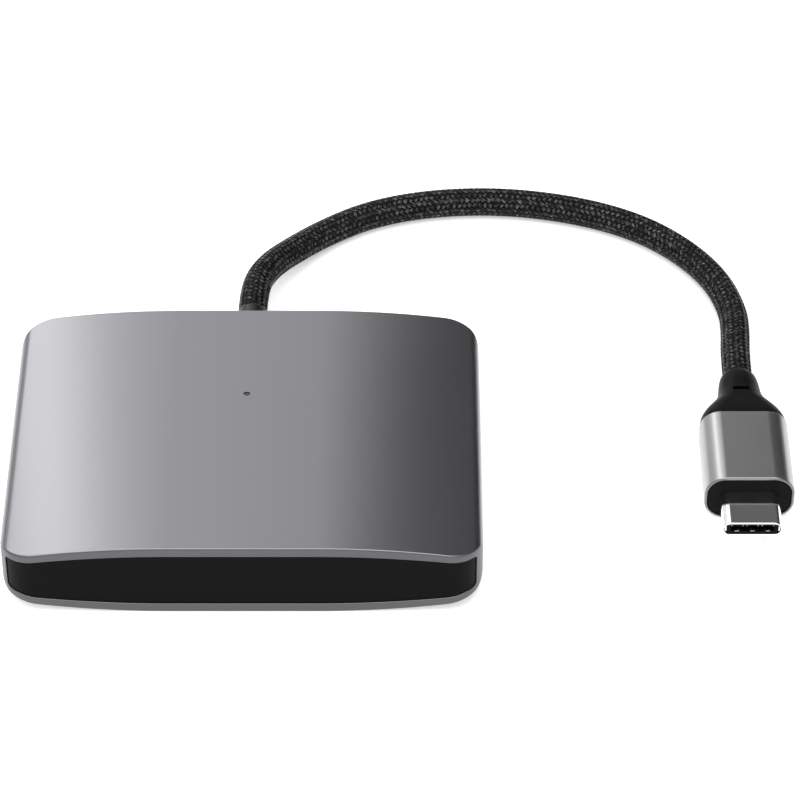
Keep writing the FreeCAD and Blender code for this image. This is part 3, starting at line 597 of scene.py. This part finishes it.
def makeSleeve():
    piece = carryRings("hub_sleeve", rimRings(-1) + rimRings(1)[::-1], True)
    for side in (-1, 1):
        for end in (-1, 1):
            cutWith(piece, openingCutter(side, end))
    cutWith(piece, pinholeCutter())
    # the rim ends and their corners get the darker copy of the finish as painted shade
    paintTwo(piece, "anodised_sleeve", "sleeve_shaded_end", onRim)
    smooth(piece, sleeve["crease"])
    return fit(piece, "anodised_sleeve", "housing_sleeve")


makeSleeve()
print("sleeve made")


glandLow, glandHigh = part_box("cord_gland")
gland = {
    "flangeRadius": 3.2 * mm, "flange": 1.5 * mm, "neck": 2.5 * mm, "foot": 3.05 * mm, "waist": 2.5 * mm,
    "tip": 2.22 * mm, "panelFace": 1.6 * mm, "panelGap": 0.02 * mm, "sweep": 1.3 * mm, "sweepPower": 1.2,
    "sweepSteps": 8, "tipStraight": 0.3 * mm, "tipSwell": 0.02 * mm, "tipRound": 0.18 * mm, "tipSteps": 4,
    "steps": 64, "crease": 35,
}


def makeGland():
    # a flange inside the panel, a neck through it and a collar that sweeps in to the cord
    start = glandLow[1]
    seat = start + gland["flange"]
    panelFace = seat + gland["panelFace"]
    foot = panelFace + gland["panelGap"]
    tip = glandHigh[1]
    z = (glandLow[2] + glandHigh[2]) / 2
    stations = [(start, gland["neck"]), (start, gland["flangeRadius"]), (seat, gland["flangeRadius"]),
                (seat, gland["neck"]), (panelFace, gland["neck"]), (foot, gland["foot"])]
    for step in range(1, gland["sweepSteps"] + 1):
        turn = math.pi / 2 * step / gland["sweepSteps"]
        left = (1 - math.sin(turn)) ** gland["sweepPower"]
        stations.append((foot + gland["sweep"] * math.sin(turn),
                         gland["waist"] + (gland["foot"] - gland["waist"]) * left))
    stations.append((tip - gland["tipStraight"], gland["tip"] + gland["tipSwell"]))
    bend = gland["tipRound"]
    for step in range(1, gland["tipSteps"] + 1):
        turn = math.pi / 2 * step / gland["tipSteps"]
        stations.append((tip - bend * (1 - math.sin(turn)), gland["tip"] - bend * (1 - math.cos(turn))))
    rings = [alongY(circleOutline(radius, gland["steps"]), y, 0, z) for y, radius in stations]
    piece = carryRings("cord_grommet", rings, False)
    paint(piece, "gland_black")
    smooth(piece, gland["crease"])
    return fit(piece, "gland_black", "cord_gland")


grommet = makeGland()
print("gland made")


plugLow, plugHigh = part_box("plug_housing")
plug = {
    "x": (plugLow[0] + plugHigh[0]) / 2, "z": (plugLow[2] + plugHigh[2]) / 2, "front": plugLow[1],
    "width": plugHigh[0] - plugLow[0], "height": plugHigh[2] - plugLow[2], "length": plugHigh[1] - plugLow[1],
    "corner": 3.0 * mm, "wall": 0.9 * mm, "lip": 0.17 * mm, "soft": 0.04 * mm, "softShare": 0.3,
    "thinWall": 0.34 * mm, "seat": 4.3 * mm, "tailBreak": 0.12 * mm, "tailIn": 0.4, "tailBack": 0.15,
    "cornerSteps": 18, "frontFacing": 0.3, "crease": 40,
}
insert = {
    "gap": 0.02 * mm, "recess": 0.1 * mm, "soft": 0.3 * mm, "softSteps": 6, "length": 4.0 * mm,
    "noseGap": 0.03 * mm,
}
# halfSide leaves the nose's round ends a hair of straight side
nose = {
    "width": 8.25 * mm, "height": 2.4 * mm, "wall": 0.25 * mm, "halfSide": 1e-6, "steps": 16, "rimSteps": 4,
}
# the spots and tips are places across the mouth, in millimetres
lug = {
    "spots": (-2.88, -1.33, -0.77, 0.72, 1.28, 2.86), "size": (0.13 * mm, 0.14 * mm, 0.1 * mm),
    "up": 0.6 * mm, "upAt": 0.04 * mm, "tips": (-2.12, 0.0, 2.15), "tipSize": (0.6 * mm, 0.3 * mm, 0.08 * mm),
    "down": -0.45 * mm, "downAt": 0.17 * mm, "bevel": 0.02 * mm, "bevelSteps": 2, "crease": 35,
}


def plugRing(inset, back):
    # the case's outline drawn in, some way back from its front
    outline = roundedOutline(plug["width"] - 2 * inset, plug["height"] - 2 * inset, plug["corner"] - inset,
                             plug["cornerSteps"])
    return alongY(outline, plug["front"] + back, plug["x"], plug["z"])


# the front-facing faces, which take the darker copy of the plug finish as painted shade
def onPlugFront(face):
    return face.normal.y < -plug["frontFacing"]


def makePlugCase():
    # a bevelled front lip, a thin wall round the insert, a seat behind it and a broken tail edge
    lip = plug["lip"]
    soft = plug["soft"]
    near = plug["softShare"] * soft
    thin = plug["thinWall"]
    seat = plug["seat"]
    wall = plug["wall"]
    length = plug["length"]
    tail = plug["tailBreak"]
    rings = [plugRing(0, lip + soft), plugRing(near, lip - near), plugRing(lip - near, near),
             plugRing(lip + soft, 0), plugRing(thin, soft), plugRing(thin, seat), plugRing(wall, seat),
             plugRing(wall, length), plugRing(tail, length),
             plugRing(plug["tailIn"] * tail, length - plug["tailBack"] * tail), plugRing(0, length - tail)]
    piece = carryRings("plug_case", rings, True)
    paintTwo(piece, "anodised_plug", "plug_shaded_end", onPlugFront)
    smooth(piece, plug["crease"])
    return fit(piece, "anodised_plug", "plug_housing")


def noseRing(inset, y, steps=nose["steps"]):
    height = nose["height"] - 2 * inset
    outline = roundedOutline(nose["width"] - 2 * inset, height, height / 2 - nose["halfSide"], steps)
    return alongY(outline, y, plug["x"], plug["z"])


def makeNose():
    # a thin flat tube with a fully rounded front rim
    low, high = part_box("plug_shell")
    wall = nose["wall"]
    rim = wall / 2
    rings = []
    for step in range(2 * nose["rimSteps"] + 1):
        turn = math.pi / 2 * step / nose["rimSteps"]
        rings.append(noseRing(rim * (1 - math.cos(turn)), low[1] + rim * (1 - math.sin(turn))))
    rings += [noseRing(wall, high[1]), noseRing(0, high[1])]
    piece = carryRings("nose_shell", rings, True)
    paint(piece, "polished_shell")
    smooth(piece, plug["crease"])
    return fit(piece, "polished_shell", "plug_shell")


def makeInsert():
    # fills the front of the case, its outer edge softly rounded, with the nose's opening in it
    edge = plug["thinWall"] + insert["gap"]
    soft = insert["soft"]
    face = insert["recess"]
    steps = plug["cornerSteps"]
    rings = [plugRing(edge, face + insert["length"]), plugRing(edge, face + soft)]
    for step in range(1, insert["softSteps"] + 1):
        turn = math.pi / 2 * step / insert["softSteps"]
        rings.append(plugRing(edge + soft * (1 - math.cos(turn)), face + soft * (1 - math.sin(turn))))
    rings.append(noseRing(-insert["noseGap"], plug["front"] + face, steps))
    rings.append(noseRing(-insert["noseGap"], plug["front"] + face + insert["length"], steps))
    piece = carryRings("nose_insert", rings, True)
    paint(piece, "insert_black")
    smooth(piece, plug["crease"])
    return fit(piece, "insert_black", "plug_nose_insert")


def makeLugs():
    # small bright lugs along the upper edge of the mouth, and spring tips on its lower side
    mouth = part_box("plug_insulator")[0][1]
    blocks = [(spot, lug["up"], lug["size"], lug["upAt"]) for spot in lug["spots"]]
    blocks += [(spot, lug["down"], lug["tipSize"], lug["downAt"]) for spot in lug["tips"]]
    made = []
    for spot, up, size, back in blocks:
        place = (plug["x"] + spot * mm, mouth + back, plug["z"] + up)
        bpy.ops.mesh.primitive_cube_add(size=1, location=place)
        bpy.context.object.dimensions = size
        bpy.ops.object.transform_apply(location=True, rotation=False, scale=True)
        applyAs(bpy.context.object, "BEVEL", width=lug["bevel"], segments=lug["bevelSteps"])
        made.append(bpy.context.object)
    bpy.ops.object.select_all(action="DESELECT")
    for piece in made:
        piece.select_set(True)
    bpy.ops.object.join()
    piece = bpy.context.object
    piece.name = "mouth_lugs"
    paint(piece, "spring_steel")
    smooth(piece, lug["crease"])
    return fit(piece, "spring_steel")


plugCase = makePlugCase()
noseShell = makeNose()
noseInsert = makeInsert()
lugs = makeLugs()
print("plug made")


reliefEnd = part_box("plug_strain_relief")[1][1]
relief = {
    "length": 10.95 * mm, "block": 2.2 * mm, "narrow": 0.95 * mm, "rows": 44, "cornerSteps": 14,
    "slot": (2.4 * mm, 0.8 * mm, 0.2 * mm), "slotAt": 0.53, "slotDepth": 0.75 * mm, "slotPast": 1 * mm,
    "slotSteps": 6, "lastShare": 0.99999, "crease": 40,
}
# share of the length, then width, height and corner radius in millimetres
reliefStations = [
    (0.0, 12.2, 7.3, 3.0), (0.09, 12.0, 7.15, 2.97), (0.2, 11.1, 6.85, 2.9), (0.32, 9.4, 6.5, 2.8),
    (0.45, 7.4, 6.15, 2.7), (0.6, 6.3, 5.8, 2.6), (0.8, 5.75, 5.4, 2.5), (0.93, 5.2, 4.95, 2.3),
    (1.0, 4.4, 4.4, 2.13),
]


def between(stations, share):
    # a smooth curve through the stations, each value at one share of the length
    spans = len(stations) - 1
    number = max(index for index in range(spans) if stations[index][0] <= share)
    first = stations[max(number - 1, 0)]
    second = stations[number]
    third = stations[number + 1]
    fourth = stations[min(number + 2, spans)]
    gap = third[0] - second[0]
    part = (share - second[0]) / gap
    values = []
    for a, b, c, d in zip(first[1:], second[1:], third[1:], fourth[1:]):
        leave = (c - a) / (third[0] - first[0]) * gap
        arrive = (d - b) / (fourth[0] - second[0]) * gap
        values.append((2 * part ** 3 - 3 * part ** 2 + 1) * b + (part ** 3 - 2 * part ** 2 + part) * leave
                      + (3 * part ** 2 - 2 * part ** 3) * c + (part ** 3 - part ** 2) * arrive)
    return [value * mm for value in values]


def makeRelief():
    # a block inside the case, then the tapering boot with a short slot across its top
    start = reliefEnd - relief["length"]
    narrow = relief["narrow"]
    blockOutline = roundedOutline(plug["width"] - 2 * narrow, plug["height"] - 2 * narrow,
                                  plug["corner"] - narrow, relief["cornerSteps"])
    rings = [alongY(blockOutline, start - relief["block"], plug["x"], plug["z"]),
             alongY(blockOutline, start, plug["x"], plug["z"])]
    for row in range(relief["rows"] + 1):
        share = row / relief["rows"]
        width, height, radius = between(reliefStations, min(share, relief["lastShare"]))
        outline = roundedOutline(width, height, radius, relief["cornerSteps"])
        rings.append(alongY(outline, start + share * relief["length"], plug["x"], plug["z"]))
    piece = carryRings("strain_relief", rings, False)
    top = plug["z"] + between(reliefStations, relief["slotAt"])[1] / 2
    outline = roundedOutline(*relief["slot"], relief["slotSteps"])
    middle = start + relief["slotAt"] * relief["length"]
    cutter = carryRings("slotCutter", [alongZ(outline, top + relief["slotPast"], plug["x"], middle),
                                       alongZ(outline, top - relief["slotDepth"], plug["x"], middle)], False)
    cutWith(piece, cutter)
    paint(piece, "relief_black")
    smooth(piece, relief["crease"])
    return fit(piece, "relief_black", "plug_strain_relief")


strainRelief = makeRelief()
print("strain relief made")


# millimetres: out of the gland, down onto the surface, round, and up into the plug
routePoints = [
    (0.0, 30.3, 5.9), (0.0, 36.5, 5.9), (1.9, 42.7, 4.6), (5.7, 48.6, 3.0), (10.4, 53.7, 2.15),
    (16.7, 57.8, 2.15), (25.2, 60.4, 2.15), (35.8, 61.1, 2.15), (46.7, 59.3, 2.15), (56.1, 55.5, 2.15),
    (63.0, 49.9, 2.15), (68.0, 42.8, 2.15), (70.1, 35.0, 2.3), (70.0, 29.1, 3.0), (69.55, 24.2, 3.8),
    (69.55, 18.6, 3.8),
]
braid = {
    "radius": 2.12 * mm, "length": 0.1168, "strands": 16, "pitch": 13.3 * mm, "width": 0.32 * mm,
    "thick": 0.16 * mm, "wave": 0.07 * mm, "waveHold": 1.6, "apart": 0.27 * mm, "perCrossing": 1.5,
    "crownPower": 4, "mapLength": 1.41, "mapSide": 0.2 * mm, "coreRadius": 1.75 * mm, "coreSides": 32,
    "resolution": 24, "crease": 100, "seed": 7,
}


def routeLine():
    # the points of the route's own smooth spline
    curve = bpy.data.curves.new("route", "CURVE")
    curve.dimensions = "3D"
    spline = curve.splines.new("NURBS")
    spline.points.add(len(routePoints) - 1)
    for point, (x, y, z) in zip(spline.points, routePoints):
        point.co = (x * mm, y * mm, z * mm, 1)
    spline.order_u = 3
    spline.use_endpoint_u = True
    spline.resolution_u = braid["resolution"]
    holder = bpy.data.objects.new("route", curve)
    mesh = bpy.data.meshes.new_from_object(holder)
    line = [vertex.co.copy() for vertex in mesh.vertices]
    bpy.data.objects.remove(holder)
    bpy.data.meshes.remove(mesh)
    return line


class Route:
    # places and directions along a line, by distance, with a side that never twists
    def __init__(self, line):
        self.line = line
        self.reach = [0.0]
        for before, after in zip(line, line[1:]):
            self.reach.append(self.reach[-1] + (after - before).length)
        ahead = [(after - before).normalized() for before, after in zip(line, line[1:])]
        self.ahead = [ahead[0]] + [(a + b).normalized() for a, b in zip(ahead, ahead[1:])] + [ahead[-1]]
        side = Vector((1, 0, 0))
        self.side = []
        for way in self.ahead:
            side = (side - way * side.dot(way)).normalized()
            self.side.append(side)
        self.number = 0

    def at(self, distance, turn, radius):
        # the point at a distance along the line and a turn round it
        while self.number > 0 and self.reach[self.number] > distance:
            self.number -= 1
        while self.number < len(self.line) - 2 and self.reach[self.number + 1] < distance:
            self.number += 1
        number = self.number
        share = (distance - self.reach[number]) / (self.reach[number + 1] - self.reach[number])
        middle = self.line[number].lerp(self.line[number + 1], share)
        way = self.ahead[number].lerp(self.ahead[number + 1], share).normalized()
        side = self.side[number].lerp(self.side[number + 1], share).normalized()
        out = side * math.cos(turn) + way.cross(side) * math.sin(turn)
        return middle + out * radius, out, way


def addYarn(route, number, hand, shift, points, faces, maps, crowns):
    # one of a pair of yarns that go over two and under two of the pairs that wind the other way
    total = route.reach[-1]
    strands = braid["strands"]
    steps = round(2 * strands * total / braid["pitch"] * braid["perCrossing"])
    base = braid["radius"] - braid["thick"] - braid["wave"]
    slope = 2 * math.pi * base / braid["pitch"]
    hold = braid["waveHold"]
    first = len(points)
    offset = random.random()
    for step in range(steps + 1):
        distance = total * step / steps
        turn = 2 * math.pi * (number / strands + hand * distance / braid["pitch"])
        crossing = 2 * number + hand * 2 * strands * distance / braid["pitch"]
        cycle = hand * math.cos(math.pi / 2 * (crossing - 0.5))
        lift = math.tanh(hold * cycle) / math.tanh(hold)
        spot, out, way = route.at(distance, turn, base + braid["wave"] * lift)
        along = (way + hand * way.cross(out) * slope).normalized()
        across = out.cross(along)
        spot += across * shift
        points.append(spot - across * braid["width"] / 2)
        points.append(spot + out * braid["thick"])
        points.append(spot + across * braid["width"] / 2)
        # crown weights the painted highlight towards the top of each float
        crowns += [0, max(0, cycle) ** braid["crownPower"], 0]
    run = [total * step / steps * braid["mapLength"] for step in range(steps + 1)]
    for step in range(steps):
        low = first + 3 * step
        for corner in range(3):
            after = (corner + 1) % 3
            left = offset + corner * braid["mapSide"]
            right = offset + (corner + 1) * braid["mapSide"]
            faces.append((low + corner, low + after, low + 3 + after, low + 3 + corner))
            maps.append(((run[step], left), (run[step], right),
                         (run[step + 1], right), (run[step + 1], left)))
    last = first + 3 * steps
    faces.append((first + 2, first + 1, first))
    faces.append((last, last + 1, last + 2))
    maps += [((0, offset),) * 3] * 2


def addCore(route, points, faces, maps, crowns):
    # a plain dark tube that closes the gaps between the yarns
    first = len(points)
    sides = braid["coreSides"]
    count = len(route.line)
    for distance in route.reach:
        for side in range(sides):
            points.append(route.at(distance, 2 * math.pi * side / sides, braid["coreRadius"])[0])
            crowns.append(0)
    for row in range(count - 1):
        for side in range(sides):
            low = first + row * sides
            after = (side + 1) % sides
            faces.append((low + side, low + after, low + sides + after, low + sides + side))
            maps.append(((0, 0),) * 4)
    faces.append(tuple(first + side for side in reversed(range(sides))))
    faces.append(tuple(first + (count - 1) * sides + side for side in range(sides)))
    maps += [((0, 0),) * sides] * 2


def makeCord():
    random.seed(braid["seed"])
    route = Route(routeLine())
    points = []
    faces = []
    maps = []
    crowns = []
    addCore(route, points, faces, maps, crowns)
    for hand in (1, -1):
        for number in range(braid["strands"]):
            for shift in (-braid["apart"] / 2, braid["apart"] / 2):
                addYarn(route, number, hand, shift, points, faces, maps, crowns)
    mesh = bpy.data.meshes.new("cord_braid")
    mesh.from_pydata(points, [], faces)
    layer = mesh.uv_layers.new(name="strand")
    layer.data.foreach_set("uv", [part for corners in maps for pair in corners for part in pair])
    mesh.attributes.new("crown", "FLOAT", "POINT").data.foreach_set("value", crowns)
    piece = bpy.data.objects.new("cord_braid", mesh)
    bpy.context.scene.collection.objects.link(piece)
    bpy.ops.object.select_all(action="DESELECT")
    piece.select_set(True)
    bpy.context.view_layer.objects.active = piece
    bpy.ops.object.mode_set(mode="EDIT")
    bpy.ops.mesh.select_all(action="SELECT")
    bpy.ops.mesh.normals_make_consistent(inside=False)
    bpy.ops.object.mode_set(mode="OBJECT")
    bpy.ops.object.shade_smooth_by_angle(angle=math.radians(braid["crease"]))
    paint(piece, "braid_black")
    fit(piece, "braid_black", "cord")
    print("braid faces:", len(faces))
    return piece, route.line


cordPiece, cordLine = makeCord()
print("cord made")


studio = {
    "aim": (0.015, 0.0, 0.005), "floorSize": 3.0, "floorTone": 0.93, "floorGlow": 0.4, "world": 1.0,
    "lights": [
        {"name": "leftStrip", "azimuth": -25, "elevation": 38, "distance": 0.9,
         "size": (0.09, 0.75), "power": 0.75},
        {"name": "leftWash", "azimuth": -16, "elevation": 38, "distance": 1.0,
         "size": (0.4, 0.8), "power": 0.35},
        {"name": "overhead", "azimuth": 180, "elevation": 75, "distance": 1.2,
         "size": (1.2, 0.9), "power": 10},
    ],
    "cards": [
        {"name": "rightCard", "azimuth": 30, "elevation": 34, "distance": 0.9,
         "size": (0.6, 1.0), "tone": 0.08},
        {"name": "sideCard", "azimuth": 80, "elevation": 30, "distance": 0.95,
         "size": (1.0, 1.0), "tone": 0.08},
        {"name": "lowCard", "azimuth": 66, "elevation": 12, "distance": 0.3,
         "size": (0.34, 0.12), "tone": 0.03},
        {"name": "leftCard", "azimuth": -68, "elevation": 16, "distance": 0.9,
         "size": (0.7, 0.5), "tone": 0.3},
    ],
}


def standAt(piece, setup):
    # on a sphere about the hub, facing it; azimuth is counted from +Y towards +X
    azimuth = math.radians(setup["azimuth"])
    elevation = math.radians(setup["elevation"])
    way = Vector((math.sin(azimuth) * math.cos(elevation), math.cos(azimuth) * math.cos(elevation),
                  math.sin(elevation)))
    piece.location = Vector(studio["aim"]) + way * setup["distance"]
    piece.rotation_euler = way.to_track_quat("Z", "Y").to_euler()
    piece.visible_camera = False


def addLight(setup):
    data = bpy.data.lights.new(setup["name"], "AREA")
    data.shape = "RECTANGLE"
    data.size, data.size_y = setup["size"]
    data.energy = setup["power"]
    light = bpy.data.objects.new(setup["name"], data)
    bpy.context.scene.collection.objects.link(light)
    standAt(light, setup)


def addCard(setup):
    # a sheet that shows in the metal, out of the camera's sight
    bpy.ops.mesh.primitive_plane_add(size=1)
    card = bpy.context.object
    card.name = setup["name"]
    card.scale = (*setup["size"], 1)
    tone = setup["tone"]
    finish = Finish(setup["name"], {"Base Color": (tone, tone, tone, 1), "Roughness": 1.0})
    card.data.materials.append(finish.material)
    standAt(card, setup)


def floorFinish():
    # pale and lit a little from below, like a light table
    tone = studio["floorTone"]
    return Finish("floor", {"Base Color": (tone, tone, tone, 1), "Roughness": 0.9, "Specular IOR Level": 0.0,
                            "Emission Color": (1, 1, 1, 1), "Emission Strength": studio["floorGlow"]})


def addStudio():
    bpy.ops.mesh.primitive_plane_add(size=studio["floorSize"])
    floor = bpy.context.object
    floor.name = "floor"
    floor.data.materials.append(floorFinish().material)
    world = bpy.data.worlds.new("studio")
    world.use_nodes = True
    background = world.node_tree.nodes["Background"]
    background.inputs["Color"].default_value = (1, 1, 1, 1)
    background.inputs["Strength"].default_value = studio["world"]
    bpy.context.scene.world = world
    for setup in studio["lights"]:
        addLight(setup)
    for setup in studio["cards"]:
        addCard(setup)
    bpy.context.scene.view_settings.view_transform = "Standard"


addStudio()
print("studio set")
